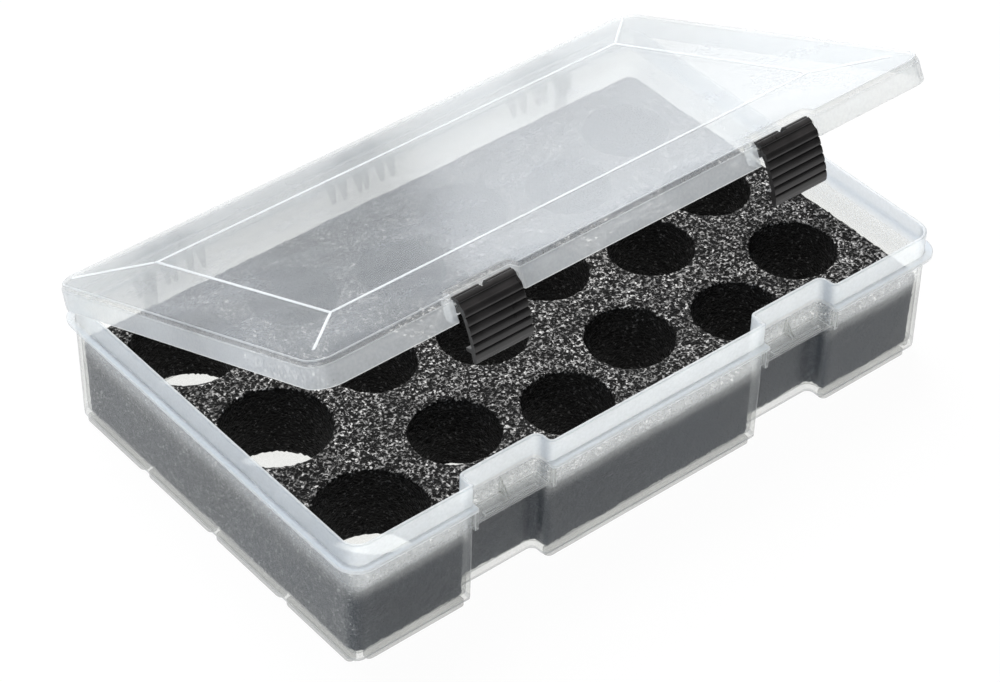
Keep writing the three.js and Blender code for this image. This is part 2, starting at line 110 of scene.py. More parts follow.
def opened(points):
    """Closed-lid coordinates in mm to where the lid stands at rest."""
    c, s = math.cos(OPEN), math.sin(OPEN)
    out = []
    for x, y, z in points:
        dy, dz = y - HINGE_Y, z - HINGE_Z
        out.append((x, HINGE_Y + c * dy + s * dz, HINGE_Z - s * dy + c * dz))
    return out


# ---------------------------------------------------------------- mesh tools
def finish_mesh(name, verts, faces, material, body, smooth_angle=35.0, others=()):
    """A mesh from points in mm, riding on a body.

    others pairs each further material with the faces it takes."""
    mesh = bpy.data.meshes.new(name)
    mesh.from_pydata(metres(verts), [], faces)
    mesh.materials.append(material)
    for slot, (other, numbers) in enumerate(others):
        mesh.materials.append(other)
        for i in numbers:
            mesh.polygons[i].material_index = slot + 1
    bm = bmesh.new()
    bm.from_mesh(mesh)
    bmesh.ops.remove_doubles(bm, verts=bm.verts, dist=1e-6)
    bmesh.ops.recalc_face_normals(bm, faces=bm.faces)
    bm.to_mesh(mesh)
    bm.free()
    obj = bpy.data.objects.new(name, mesh)
    bpy.context.collection.objects.link(obj)
    for p in mesh.polygons:
        p.use_smooth = True
    mesh.set_sharp_from_angle(angle=math.radians(smooth_angle))
    mod = obj.modifiers.new("weighted", "WEIGHTED_NORMAL")
    mod.keep_sharp = True
    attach(obj, body)
    return obj


def bevelled(obj, width, segments=2, angle=35.0, edge=None):
    """Rounds an object's hard edges, ahead of its weighted normals.

    edge is the rounding's own material."""
    mod = obj.modifiers.new("bevel", "BEVEL")
    mod.width = width * MM
    mod.segments = segments
    mod.limit_method = "ANGLE"
    mod.angle_limit = math.radians(angle)
    if edge is not None:
        obj.data.materials.append(edge)
        mod.material = 1
    obj.modifiers.move(len(obj.modifiers) - 1, 0)
    return obj


def round_corners(corners, steps):
    """Rounds every corner (x, y, radius) of a polygon."""
    pts = []
    n = len(corners)
    for i, (x, y, r) in enumerate(corners):
        before, after = corners[i - 1], corners[(i + 1) % n]
        p = Vector((x, y))
        to_b = (Vector(before[:2]) - p).normalized()
        to_a = (Vector(after[:2]) - p).normalized()
        half = math.acos(max(-1.0, min(1.0, to_b.dot(to_a)))) / 2
        reach = r / math.tan(half)
        centre = p + (to_b + to_a).normalized() * (r / math.sin(half))
        start = p + to_b * reach - centre
        end = p + to_a * reach - centre
        sweep = math.atan2(start.x * end.y - start.y * end.x, start.dot(end))
        for k in range(steps + 1):
            a = sweep * k / steps
            c, s = math.cos(a), math.sin(a)
            pts.append((centre.x + c * start.x - s * start.y, centre.y + s * start.x + c * start.y))
    return pts


def split_edges(pts, steps, counts):
    """Adds evenly spaced points to the straight runs between rounded corners."""
    out = []
    per = steps + 1
    n = len(pts) // per
    for i in range(n):
        out.extend(pts[i * per:(i + 1) * per])
        a = pts[(i + 1) * per - 1]
        b = pts[((i + 1) % n) * per]
        count = counts[i]
        for k in range(1, count):
            t = k / count
            out.append((a[0] + (b[0] - a[0]) * t, a[1] + (b[1] - a[1]) * t))
    return out


def outline(half_x, half_y, corner, pocket_half, pocket_back, inner, outer, depth=0.0):
    """Rounded rectangle with a pocket at each latch. depth is how far inside the wall's face it lies."""
    corners = [(-half_x, -half_y, corner)]
    for cx in LATCH_X:
        corners.append((cx - pocket_half, -half_y, max(outer[0] - depth, LEAST_RADIUS)))
        corners.append((cx - pocket_half, pocket_back, inner[0] + depth))
        corners.append((cx + pocket_half, pocket_back, inner[1] + depth))
        corners.append((cx + pocket_half, -half_y, max(outer[1] - depth, LEAST_RADIUS)))
    corners += [(half_x, -half_y, corner), (half_x, half_y, corner), (-half_x, half_y, corner)]
    return split_edges(round_corners(corners, STEPS), STEPS, EDGE_COUNTS)


def lerp(a, b, t):
    return a + (b - a) * t


def tray_loop(z, inset=0.0, flange=0.0):
    """The tray's outline at height z, inset from its outer face, or spread by flange from 0 to 1."""
    t = z / RIM_TOP
    hx = lerp(BASE_HALF[0], RIM_HALF[0], t)
    hy = lerp(BASE_HALF[1], RIM_HALF[1], t)
    r = lerp(BASE_CORNER, RIM_CORNER, t)
    hx = lerp(hx, FLANGE_HALF[0], flange)
    hy = lerp(hy, FLANGE_HALF[1], flange)
    r = lerp(r, FLANGE_CORNER, flange)
    back = lerp(POCKET_BACK[0], POCKET_BACK[1], t)
    mouth = [lerp(plain, spread, flange) for plain, spread in POCKET_MOUTH_RADII]
    loop = outline(hx - inset, hy - inset, max(r - inset, LEAST_CORNER), POCKET_HALF + inset, back + inset,
                   POCKET_BACK_RADII, mouth, inset)
    return [(x, y, z) for x, y in loop]


def bands(per_loop, numbers):
    """Numbers of the faces between a loop and the next one, for each loop number given."""
    return [k * per_loop + i for k in numbers for i in range(per_loop)]


def skin(loops):
    """Quads between matching loops, with a flat cap at each end."""
    verts = [p for loop in loops for p in loop]
    n = len(loops[0])
    faces = []
    for k in range(len(loops) - 1):
        for i in range(n):
            j = (i + 1) % n
            faces.append((k * n + i, k * n + j, (k + 1) * n + j, (k + 1) * n + i))
    faces.append(tuple(reversed(range(n))))
    last = (len(loops) - 1) * n
    faces.append(tuple(range(last, last + n)))
    return verts, faces


def prism_x(profile, x0, x1):
    """Closed prism of a section in the YZ plane."""
    n = len(profile)
    verts = [(x0, y, z) for y, z in profile] + [(x1, y, z) for y, z in profile]
    faces = [tuple(range(n)), tuple(range(2 * n - 1, n - 1, -1))]
    for i in range(n):
        j = (i + 1) % n
        faces.append((i, n + i, n + j, j))
    return verts, faces


def box_mesh(x0, x1, y0, y1, z0, z1):
    return prism_x([(y0, z0), (y1, z0), (y1, z1), (y0, z1)], x0, x1)


def merged(parts):
    """Several meshes as one."""
    verts, faces = [], []
    for v, f in parts:
        base = len(verts)
        verts += v
        faces += [tuple(i + base for i in face) for face in f]
    return verts, faces


# ---------------------------------------------------------------- materials
MIX_FIRST, MIX_SECOND, MIX_RESULT = 6, 7, 2  # the colour sockets of Blender's Mix node


class Nodes:
    """Short way to build a material's node tree."""

    def __init__(self, name):
        self.mat = bpy.data.materials.new(name)
        self.mat.use_nodes = True
        self.tree = self.mat.node_tree
        self.tree.nodes.clear()
        self.out = self.tree.nodes.new("ShaderNodeOutputMaterial")

    def feed(self, socket, value):
        """Links a socket to another node's output, or sets it to a plain value."""
        if isinstance(value, bpy.types.NodeSocket):
            self.tree.links.new(value, socket)
        else:
            socket.default_value = value

    def add(self, kind, **values):
        """A node. Names that start with _ are its own settings, and the others are its inputs."""
        node = self.tree.nodes.new(kind)
        for key, value in values.items():
            if key.startswith("_"):
                setattr(node, key[1:], value)
        for key, value in values.items():
            if not key.startswith("_"):
                self.feed(node.inputs[key], value)
        return node

    def math(self, op, a, b=0.0, clamp=False):
        node = self.tree.nodes.new("ShaderNodeMath")
        node.operation = op
        node.use_clamp = clamp
        for socket, value in zip(node.inputs, (a, b)):
            self.feed(socket, value)
        return node.outputs[0]

    def mix(self, factor, a, b):
        node = self.tree.nodes.new("ShaderNodeMixShader")
        self.feed(node.inputs[0], factor)
        self.tree.links.new(a, node.inputs[1])
        self.tree.links.new(b, node.inputs[2])
        return node.outputs[0]

    def colours(self, factor, first, second):
        """The colour between two colours."""
        node = self.add("ShaderNodeMix", _data_type="RGBA")
        self.tree.links.new(factor, node.inputs["Factor"])
        node.inputs[MIX_FIRST].default_value = first
        node.inputs[MIX_SECOND].default_value = second
        return node.outputs[MIX_RESULT]

    def ramp(self, factor, low, high, a=0.0, b=1.0):
        """A value from low to high, mapped to a to b and held there outside."""
        node = self.tree.nodes.new("ShaderNodeMapRange")
        node.clamp = True
        self.tree.links.new(factor, node.inputs["Value"])
        node.inputs["From Min"].default_value = low
        node.inputs["From Max"].default_value = high
        node.inputs["To Min"].default_value = a
        node.inputs["To Max"].default_value = b
        return node.outputs[0]

    def finish(self, shader):
        self.tree.links.new(shader, self.out.inputs["Surface"])
        return self.mat


VEIL_SWING = 0.14  # how far the haze wanders, as a share of it
GRAIN_SWING = 0.02
FOAM_LINE_HAZE = 0.10  # the part of the rim's extra haze that starts at the foam's top already
BACK_WALL_FROM, BACK_WALL_TO = 0.085, 0.1  # metres along y
BACK_WALL_SHARE = 0.25  # of the extra haze
FACE_ON, FACE_ON_BLUE = 0.987, 0.970  # light left where one surface is seen face on
ALONG_POWER = 3.5
GLOSS_FACE_ON, GLOSS_RISE, GLOSS_POWER = 0.022, 0.9, 5.0


def clear_plastic(name, haze, near_share, blue, milk, rim=None, rough=0.24, along_tint=0.36):
    """Natural polypropylene: see-through with a milky veil and a soft gloss, darker seen along the wall.

    near_share is how much of the veil is lit from the viewer's side, in the cold colour blue. The rest
    is lit from behind, in the colour milk. rim is the haze and the near share above the flange, where
    the wall is frosted, though less so at the back. along_tint is how much light is left where the wall
    is seen edge on."""
    n = Nodes(name)
    coords = n.add("ShaderNodeTexCoord").outputs["Object"]
    cloud = n.add("ShaderNodeTexNoise", Vector=coords, Scale=26.0, Detail=4.0).outputs["Fac"]
    grain = n.add("ShaderNodeTexNoise", Vector=coords, Scale=700.0, Detail=2.0).outputs["Fac"]
    veil = n.ramp(cloud, 0.3, 0.7, haze * (1.0 - VEIL_SWING), haze * (1.0 + VEIL_SWING))
    far = 1.0 - near_share
    if rim is not None:
        rim_haze, rim_near_share = rim
        place = n.add("ShaderNodeSeparateXYZ", Vector=coords)
        height = place.outputs["Z"]
        low, high = (FLANGE_UNDER - 0.4) * MM, FLANGE_UNDER * MM
        above_flange = n.ramp(height, low, high, 0.0, rim_haze - haze - FOAM_LINE_HAZE)
        above_foam = n.ramp(height, (FOAM_TOP - 2.0) * MM, (FOAM_TOP + 3.0) * MM, 0.0, FOAM_LINE_HAZE)
        frost = n.math("ADD", above_flange, above_foam)
        front = n.ramp(place.outputs["Y"], BACK_WALL_FROM, BACK_WALL_TO, 1.0, BACK_WALL_SHARE)
        veil = n.math("ADD", veil, n.math("MULTIPLY", frost, front))
        far = n.ramp(height, low, high, 1.0 - near_share, 1.0 - rim_near_share)
    veil = n.math("ADD", veil, n.ramp(grain, 0.3, 0.7, -GRAIN_SWING, GRAIN_SWING))
    ripple = n.add("ShaderNodeTexNoise", Vector=coords, Scale=45.0, Detail=2.0).outputs["Fac"]
    bump = n.add("ShaderNodeBump", Strength=0.12, Distance=0.0008, Height=ripple)
    normal = bump.outputs[0]
    diffuse = n.add("ShaderNodeBsdfDiffuse", Color=blue, Normal=normal).outputs[0]
    through = n.add("ShaderNodeBsdfTranslucent", Color=milk, Normal=normal).outputs[0]
    milky = n.mix(far, diffuse, through)
    facing = n.add("ShaderNodeLayerWeight", Blend=0.5, Normal=normal).outputs["Facing"]
    along = n.math("POWER", facing, ALONG_POWER)
    left = n.ramp(along, 0.0, 1.0, FACE_ON, along_tint)
    left_blue = n.ramp(along, 0.0, 1.0, FACE_ON_BLUE, along_tint)
    tint = n.add("ShaderNodeCombineColor", Red=left, Green=left, Blue=left_blue)
    clear = n.add("ShaderNodeBsdfTransparent", Color=tint.outputs[0]).outputs[0]
    body = n.mix(veil, clear, milky)
    rise = n.math("MULTIPLY", n.math("POWER", facing, GLOSS_POWER), GLOSS_RISE)
    fresnel = n.math("ADD", rise, GLOSS_FACE_ON, clamp=True)
    gloss = n.add("ShaderNodeBsdfGlossy", Color=(1, 1, 1, 1), Roughness=rough, Normal=normal).outputs[0]
    return n.finish(n.mix(fresnel, body, gloss))


def black_plastic(name):
    """Moulded black plastic with a fine grain and smears in its gloss."""
    n = Nodes(name)
    coords = n.add("ShaderNodeTexCoord").outputs["Object"]
    grain = n.add("ShaderNodeTexNoise", Vector=coords, Scale=1400.0, Detail=3.0).outputs["Fac"]
    smear = n.add("ShaderNodeTexNoise", Vector=coords, Scale=90.0, Detail=3.0).outputs["Fac"]
    bump = n.add("ShaderNodeBump", Strength=0.2, Distance=0.0001, Height=grain)
    shader = n.add("ShaderNodeBsdfPrincipled", Roughness=n.ramp(smear, 0.3, 0.7, 0.26, 0.34),
                   Normal=bump.outputs[0])
    colour = n.colours(n.ramp(smear, 0.35, 0.65), (0.018, 0.017, 0.017, 1), (0.030, 0.028, 0.028, 1))
    n.tree.links.new(colour, shader.inputs["Base Color"])
    return n.finish(shader.outputs[0])


def foam_material(name):
    """Open-cell foam: near-black, with bright curved glints painted into its colour as painted highlights
    where cell walls catch the light.
    """
    n = Nodes(name)
    coords = n.add("ShaderNodeTexCoord").outputs["Object"]
    warp = n.add("ShaderNodeTexNoise", Vector=coords, Scale=420.0, Detail=2.0)
    bent = n.add("ShaderNodeVectorMath", _operation="MULTIPLY_ADD")
    n.tree.links.new(warp.outputs["Color"], bent.inputs[0])
    bent.inputs[1].default_value = (0.0012, 0.0012, 0.0012)
    n.tree.links.new(coords, bent.inputs[2])
    cells = n.add("ShaderNodeTexVoronoi", Vector=bent.outputs[0], Scale=520.0, _feature="DISTANCE_TO_EDGE")
    small = n.add("ShaderNodeTexVoronoi", Vector=bent.outputs[0], Scale=1050.0)
    patch = n.add("ShaderNodeTexNoise", Vector=coords, Scale=520.0, Detail=3.0, Roughness=0.6)
    broad = n.add("ShaderNodeTexNoise", Vector=coords, Scale=70.0, Detail=3.0)
    # Painted light and shade: the painted glints are full on faces that look up and faint on the walls of the
    # wells, where less light falls; the two end faces keep them.
    up = n.add("ShaderNodeSeparateXYZ")
    n.tree.links.new(n.add("ShaderNodeNewGeometry").outputs["Normal"], up.inputs[0])
    top = n.ramp(up.outputs["Z"], 0.30, 0.80, 0.05, 1.0)
    place = n.add("ShaderNodeSeparateXYZ", Vector=coords)
    end = n.ramp(n.math("ABSOLUTE", place.outputs["X"]), FOAM_END * MM, (FOAM_END + 2.0) * MM, 0.0, 0.9)
    top = n.math("MAXIMUM", top, end)
    random = n.add("ShaderNodeSeparateColor")
    n.tree.links.new(small.outputs["Color"], random.inputs[0])
    # Painted highlights: bright strands along the cell walls and loose flecks, in patches.
    strand = n.ramp(cells.outputs["Distance"], 0.04, 0.16, 1.0, 0.0)
    strand = n.math("MULTIPLY", strand, n.ramp(patch.outputs["Fac"], 0.47, 0.66))
    strand = n.math("MULTIPLY", strand, n.ramp(random.outputs[1], 0.15, 0.9, 0.25, 1.0))
    fleck = n.ramp(random.outputs[0], 0.86, 0.97)
    fleck = n.math("MULTIPLY", fleck, n.ramp(patch.outputs["Fac"], 0.42, 0.56))
    fleck = n.math("MULTIPLY", fleck, n.ramp(top, 0.0, 1.0, 0.12, 1.0))
    painted_glint = n.math("MAXIMUM", n.math("MULTIPLY", strand, top), fleck)
    painted_glint = n.math("MULTIPLY", painted_glint, n.ramp(broad.outputs["Fac"], 0.3, 0.7, 0.6, 1.2), clamp=True)
    # The second colour is the painted glint, a painted highlight in the base colour.
    colour = n.colours(painted_glint, (0.0045, 0.0043, 0.0043, 1), (0.50, 0.49, 0.49, 1))
    height = n.math("SUBTRACT", patch.outputs["Fac"], n.math("MULTIPLY", cells.outputs["Distance"], 0.8))
    bump = n.add("ShaderNodeBump", Strength=0.9, Distance=0.0011, Height=height)
    shader = n.add("ShaderNodeBsdfPrincipled", Roughness=0.40, Normal=bump.outputs[0])
    shader.inputs["Specular IOR Level"].default_value = 0.06
    n.tree.links.new(colour, shader.inputs["Base Color"])
    return n.finish(shader.outputs[0])


COLD = (0.57, 0.75, 1.0, 1.0)
PP_TRAY = clear_plastic("clear_tray", haze=0.16, near_share=0.18, blue=COLD,
                        milk=(0.97, 0.975, 0.98, 1.0), rim=(0.46, 0.24))
PP_LID = clear_plastic("clear_lid", haze=0.25, near_share=0.065, blue=COLD,
                       milk=(0.94, 0.95, 0.968, 1.0), rough=0.16, along_tint=0.45)
PP_SKIRT = clear_plastic("clear_skirt", haze=0.33, near_share=0.22, blue=COLD, milk=(0.95, 0.95, 0.955, 1.0))
PP_EDGE = clear_plastic("clear_edge", haze=0.52, near_share=0.30, blue=(0.86, 0.90, 0.96, 1.0),
                        milk=(0.90, 0.90, 0.90, 1.0))
PP_FITTING = clear_plastic("clear_fitting", haze=0.30, near_share=0.30, blue=(0.62, 0.66, 0.72, 1.0),
                           milk=(0.44, 0.44, 0.44, 1.0))
BLACK = black_plastic("black_latch")
FOAM = foam_material("black_foam")


# ---------------------------------------------------------------- tray
# Each section runs from the underside, up the outside, over the rim and down the inside.
BOTTOM_EDGE = ((2.75, 0.9), (3.05, 0.35), (3.6, 0.05))  # height and inset
OUTER_HEIGHTS = (5.0, 14.0, 30.0, FOAM_TOP, 57.5, 59.2)
FLANGE_SECTION = ((59.52, 0.05), (FLANGE_UNDER, 0.16), (FLANGE_UNDER, 0.84), (59.72, 0.95), (59.95, 1.0),
                  (60.85, 1.0), (61.08, 0.95), (FLANGE_TOP, 0.84), (FLANGE_TOP, 0.16), (61.3, 0.05),
                  (61.65, 0.0))  # height and spread
RIM_SECTION = ((66.0, 0.0), (71.8, 0.0), (72.3, 0.1), (72.6, 0.35), (RIM_TOP, 0.7), (RIM_TOP, 1.1),
               (72.6, 1.45), (72.3, 1.7), (71.8, WALL))  # height and inset
INNER_HEIGHTS = (66.0, 57.5, FOAM_TOP, 30.0, 14.0, 8.5)
FLOOR_EDGE = ((6.6, 1.95), (5.5, 2.5), (4.9, 3.4), (FLOOR_TOP, 4.8))  # height and inset
TRAY_MILKY = (1, 2, 3, 13, 14, 15, 16, 24, 25, 26, 27)  # bands at the bottom, flange and rim edges


def make_tray():
    """The moulded shell: drafted walls with two latch pockets, the flange and the rim."""
    loops = [tray_loop(FLOOR_UNDER, 1.4)]
    loops += [tray_loop(z, inset) for z, inset in BOTTOM_EDGE]
    loops += [tray_loop(z) for z in OUTER_HEIGHTS]
    loops += [tray_loop(z, 0.0, spread) for z, spread in FLANGE_SECTION]
    loops += [tray_loop(z, inset) for z, inset in RIM_SECTION]
    loops += [tray_loop(z, WALL) for z in INNER_HEIGHTS]
    loops += [tray_loop(z, inset) for z, inset in FLOOR_EDGE]
    verts, faces = skin(loops)
    milky = bands(len(loops[0]), TRAY_MILKY)
    return finish_mesh("tray_shell", verts, faces, PP_TRAY, "case_base", others=[(PP_EDGE, milky)])


def rounded_bar(x0, x1, y0, y1, z0, z1, r):
    """A low bar with round ends in plan."""
    pts = round_corners([(x0, y0, r), (x1, y0, r), (x1, y1, r), (x0, y1, r)], 5)
    loops = []
    cx, cy = (x0 + x1) / 2, (y0 + y1) / 2
    for z, shrink in ((z0, 0.5), (z0 + 0.5, 0.0), (z1, 0.0)):
        loop = []
        for x, y in pts:
            loop.append((x - math.copysign(shrink, x - cx), y - math.copysign(shrink, y - cy), z))
        loops.append(loop)
    return skin(loops)


FOOT_WIDTH = 6.0
FOOT_SETBACK = 0.6
FOOT_RADIUS = 2.6
FOOT_TOP = FLOOR_UNDER + 0.1
SIDE_FEET = 4
SIDE_PITCH = 53.0
SIDE_GAP, SIDE_END_GAP = 1.5, 4.5
BACK_FEET = 4
BACK_START, BACK_PITCH, BACK_LENGTH = -164.0, 82.5, 79.5
FRONT_FEET = ((-163.0, -108.5), (-61.5, 61.5), (108.5, 163.0))


def make_feet():
    """Foot strips: four on each short side, three along the front between pockets, four along the back."""
    parts = []
    hx, hy = BASE_HALF
    near, far = FOOT_SETBACK, FOOT_WIDTH
    for side in (-1, 1):
        xa, xb = sorted((side * (hx - near), side * (hx - far)))
        for k in range(SIDE_FEET):
            y0 = -hy + SIDE_PITCH * k + (SIDE_END_GAP if k == 0 else SIDE_GAP)
            y1 = -hy + SIDE_PITCH * (k + 1) - (SIDE_END_GAP if k == SIDE_FEET - 1 else SIDE_GAP)
            parts.append(rounded_bar(xa, xb, y0, y1, 0.0, FOOT_TOP, FOOT_RADIUS))
    for k in range(BACK_FEET):
        x0 = BACK_START + BACK_PITCH * k
        parts.append(rounded_bar(x0, x0 + BACK_LENGTH, hy - far, hy - near, 0.0, FOOT_TOP, FOOT_RADIUS))
    for x0, x1 in FRONT_FEET:
        parts.append(rounded_bar(x0, x1, -hy + near, -hy + far, 0.0, FOOT_TOP, FOOT_RADIUS))
    verts, faces = merged(parts)
    return finish_mesh("tray_feet", verts, faces, PP_FITTING, "case_base")


LIP_HALF, LIP_BACK, LIP_TOP = 15.0, -105.6, 51.7
GUSSET_HALF = 0.9
CHEEK_WIDTH, CHEEK_BACK, CHEEK_SETBACK = 1.8, -107.6, 0.8


def make_catches():
    """In each pocket: shelf, lip, gusset and the cheeks that join the shelf to the flange."""
    parts = []
    back = lerp(POCKET_BACK[0], POCKET_BACK[1], SHELF_TOP / RIM_TOP)
    for cx in LATCH_X:
        parts.append(box_mesh(cx - POCKET_HALF, cx + POCKET_HALF, SHELF_FRONT, back, SHELF_UNDER, SHELF_TOP))
        parts.append(box_mesh(cx - LIP_HALF, cx + LIP_HALF, SHELF_FRONT, LIP_BACK, SHELF_TOP, LIP_TOP))
        gusset = [(back, SHELF_TOP), (-105.8, SHELF_TOP), (-99.3, 59.2)]
        parts.append(prism_x(gusset, cx - GUSSET_HALF, cx + GUSSET_HALF))
        for side in (-1, 1):
            xa, xb = sorted((cx + side * POCKET_HALF, cx + side * (POCKET_HALF + CHEEK_WIDTH)))
            front = -FLANGE_HALF_Y + CHEEK_SETBACK
            parts.append(box_mesh(xa, xb, front, CHEEK_BACK, SHELF_UNDER, FLANGE_UNDER))
    verts, faces = merged(parts)
    obj = finish_mesh("tray_catches", verts, faces, PP_FITTING, "case_base")
    return bevelled(obj, 0.3, edge=PP_EDGE)


def circle(cy, cz, r, a0, a1, steps):
    """Points on an arc in the YZ plane, from a0 to a1 degrees."""
    angles = [math.radians(lerp(a0, a1, k / steps)) for k in range(steps + 1)]
    return [(cy + r * math.cos(a), cz + r * math.sin(a)) for a in angles]


def rod(cy, cz, r, x0, x1, steps=28):
    return prism_x(circle(cy, cz, r, 0, 360, steps)[:-1], x0, x1)


FINGER_HALF = 0.9
FINGER_RADIUS = 3.2
FINGER_ROOT_Y = 108.0
HINGE_PIN_RADIUS = 2.0
PILASTER_X = (-125.5, 125.5)
PILASTER_HALF = 3.0


def make_tray_knuckles():
    """Hinge fingers with the pins between them, and the two pilasters on the back wall."""
    parts = []
    finger = [(FINGER_ROOT_Y, 49.0), (109.0, 49.0)] + circle(HINGE_Y, HINGE_Z, FINGER_RADIUS, -45, 171, 14)
    finger += [(FLANGE_HALF_Y + 0.9, FLANGE_UNDER), (FINGER_ROOT_Y, FLANGE_UNDER)]
    for cx in HINGE_GROUPS:
        for off in FINGERS:
            parts.append(prism_x(finger, cx + off - FINGER_HALF, cx + off + FINGER_HALF))
        for a, b in zip(FINGERS, FINGERS[1:]):
            parts.append(rod(HINGE_Y, HINGE_Z, HINGE_PIN_RADIUS, cx + a + FINGER_HALF, cx + b - FINGER_HALF))
    pilaster = [(107.2, 26.0), (108.0, 26.0), (110.0, 32.0), (110.0, FLANGE_UNDER), (107.2, FLANGE_UNDER)]
    for x in PILASTER_X:
        parts.append(prism_x(pilaster, x - PILASTER_HALF, x + PILASTER_HALF))
    verts, faces = merged(parts)
    obj = finish_mesh("tray_hinge_fingers", verts, faces, PP_FITTING, "case_base")
    return bevelled(obj, 0.25)


# ---------------------------------------------------------------- lid
NOTCH_RADII = (1.2, 1.2)
NOTCH_MOUTH_RADII = (0.6, 0.6)
# The lid's section runs from its top, down the outside, round the skirt's edge and up the inside.
LID_CROWN = ((LID_TOP, 3.2), (LID_TOP, 2.3), (LID_TOP - 0.12, 1.8))  # height and inset
LID_OUTSIDE = ((LID_TOP - 0.5, 1.5), (LID_STEP + 0.5, 1.15), (LID_STEP + 0.12, 0.95),
               (LID_STEP - 0.02, 0.62), (LID_STEP - 0.3, 0.5), (66.5, 0.25), (LID_SKIRT + 0.6, 0.02),
               (LID_SKIRT + 0.15, 0.12), (LID_SKIRT, 0.45))  # height and inset
LID_INSIDE = ((LID_SKIRT, 1.1, 1.1), (LID_SKIRT + 0.15, 1.4, 1.4), (LID_SKIRT + 0.6, 1.52, LID_WALL),
              (66.5, 1.75, LID_WALL), (71.2, 2.0, LID_WALL), (72.4, 2.3, 1.8), (72.9, 3.1, 2.6),
              (LID_UNDER, 4.2, 3.6))  # height, inset and depth at the notches
LID_MILKY = (1, 2, 5, 6, 9, 10, 11, 12)  # bands at the top, step and skirt edges
LID_SKIRT_BANDS = (7, 8, 13, 14, 15)


def lid_loop(z, inset, depth=0.0):
    """The lid's outline at height z with the lid closed, moved to where the lid stands."""
    loop = outline(LID_HALF[0] - inset, LID_HALF[1] - inset, max(LID_CORNER - inset, LEAST_CORNER),
                   NOTCH_HALF + depth, NOTCH_BACK + depth, NOTCH_RADII, NOTCH_MOUTH_RADII, depth)
    return opened([(x, y, z) for x, y in loop])


def make_lid():
    """The moulded shell of the lid, with a notch for each latch."""
    loops = [lid_loop(*ring) for ring in LID_CROWN + LID_OUTSIDE + LID_INSIDE]
    verts, faces = skin([list(reversed(loop)) for loop in loops])
    milky = bands(len(loops[0]), LID_MILKY)
    skirt = bands(len(loops[0]), LID_SKIRT_BANDS)
    others = [(PP_EDGE, milky), (PP_SKIRT, skirt)]
    return finish_mesh("lid_shell", verts, faces, PP_LID, "case_lid", others=others)


BEAD_WIDTH, BEAD_HEIGHT = 1.5, 0.55
BEAD_SECTION = tuple((across * BEAD_WIDTH, up * BEAD_HEIGHT) for across, up in (
    (-0.5, 0.0), (-0.38, 0.62), (-0.15, 0.96), (0.15, 0.96), (0.38, 0.62), (0.5, 0.0)))
SHARPEST = 0.3  # limits how far a mitre is stretched
BEAD_FRONT, BEAD_BACK, BEAD_SIDE = -69.2, 75.0, 137.0
BEAD_GAP = 0.8


def bead_strip(points, closed):
    """A low rounded line along a path on the lid's top."""
    count = len(points)
    loops = []
    for i, p in enumerate(points):
        p = Vector(p)
        prev = Vector(points[i - 1]) if closed or i > 0 else None
        nxt = Vector(points[(i + 1) % count]) if closed or i + 1 < count else None
        d_in = (p - prev).normalized() if prev is not None else (nxt - p).normalized()
        d_out = (nxt - p).normalized() if nxt is not None else d_in
        tangent = (d_in + d_out).normalized()
        side = Vector((-tangent.y, tangent.x))
        stretch = 1.0 / max(SHARPEST, tangent.dot(d_in))
        loops.append([(p.x + side.x * a * stretch, p.y + side.y * a * stretch, LID_TOP + b)
                      for a, b in BEAD_SECTION])
    verts = [v for loop in loops for v in loop]
    n = len(BEAD_SECTION)
    faces = []
    spans = count if closed else count - 1
    for k in range(spans):
        m = (k + 1) % count
        for i in range(n):
            j = (i + 1) % n
            faces.append((k * n + i, k * n + j, m * n + j, m * n + i))
    if not closed:
        faces.append(tuple(reversed(range(n))))
        faces.append(tuple(range((count - 1) * n, count * n)))
    return opened(verts), faces


def make_beads():
    """The raised lines: a rectangle, and one line out to each corner."""
    front, back, side = BEAD_FRONT, BEAD_BACK, BEAD_SIDE
    parts = [bead_strip([(-side, front), (side, front), (side, back), (-side, back)], True)]
    for s in (-1, 1):
        start = s * (side + BEAD_GAP)
        parts.append(bead_strip([(start, front - BEAD_GAP), (s * 164.0, -96.0)], False))
        parts.append(bead_strip([(start, back + BEAD_GAP), (s * 166.0, 104.0)], False))
    verts, faces = merged(parts)
    return finish_mesh("lid_beads", verts, faces, PP_EDGE, "case_lid")


EYE_HALF = 3.45
EYE_RADIUS, EYE_BORE = 4.2, 2.3
LATCH_PIN_RADIUS = 1.4
TAB_HALF = 1.5


def make_lid_fittings():
    """Hinge eyes with their arms, and the pins and tabs that the latches turn on."""
    parts = []
    for cx in HINGE_GROUPS:
        for off in EYES:
            ring = circle(HINGE_Y, HINGE_Z, EYE_RADIUS, -66, 90, 18)
            arm = [(LID_HALF[1] + 0.6, LID_STEP - 0.6), (LID_HALF[1] - 0.2, LID_STEP - 0.6),
                   (LID_HALF[1] - 0.2, LID_SKIRT + 0.4), (HINGE_Y - 4.0, LID_SKIRT + 0.4)]
            hollow = circle(HINGE_Y, HINGE_Z, EYE_RADIUS, 205, 246, 4)
            hollow += circle(HINGE_Y, HINGE_Z, EYE_BORE, 222, -42, 26)
            parts.append(prism_x(ring + arm + hollow, cx + off - EYE_HALF, cx + off + EYE_HALF))
    for cx in LATCH_X:
        parts.append(rod(PIVOT_Y, PIVOT_Z, LATCH_PIN_RADIUS, cx - NOTCH_HALF, cx + NOTCH_HALF))
        tab = [(PIVOT_Y - 0.8, PIVOT_Z - 0.9), (PIVOT_Y + 0.6, PIVOT_Z - 2.2),
               (NOTCH_BACK + 0.75, PIVOT_Z - 3.8), (NOTCH_BACK + 0.75, PIVOT_Z + 0.8),
               (PIVOT_Y - 0.8, PIVOT_Z + 0.8)]
        parts.append(prism_x(tab, cx - TAB_HALF, cx + TAB_HALF))
    verts, faces = merged([(opened(v), f) for v, f in parts])
    obj = finish_mesh("lid_fittings", verts, faces, PP_FITTING, "case_lid")
    return bevelled(obj, 0.2)


